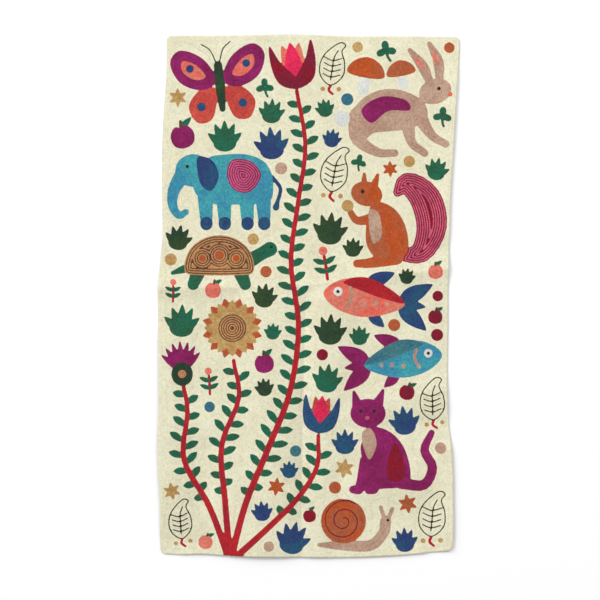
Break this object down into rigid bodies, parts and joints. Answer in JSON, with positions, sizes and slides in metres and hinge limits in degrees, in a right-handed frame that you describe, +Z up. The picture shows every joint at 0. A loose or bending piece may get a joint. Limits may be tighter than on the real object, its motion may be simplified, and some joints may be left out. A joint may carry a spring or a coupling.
{
  "type": "chain stitch rug",
  "caption": "Flat rectangular wool rug worked in chain stitch on a thin ground cloth, lying flat with soft creases where it was folded in quarters.",
  "frame": {"origin": "middle of the rug's footprint, on the surface it lies on", "axes": "+Z up out of the stitched face, +Y along the rug's length to its top edge, +X to the right seen from above"},
  "size_m": [0.8817, 1.5303, 0.0123],
  "materials": {
    "rug_wool": "matt wool chain stitch, cream ground with coloured figures"
  },
  "bodies": {
    "root": {"rug": "rug_wool"}
  },
  "joints": []
}
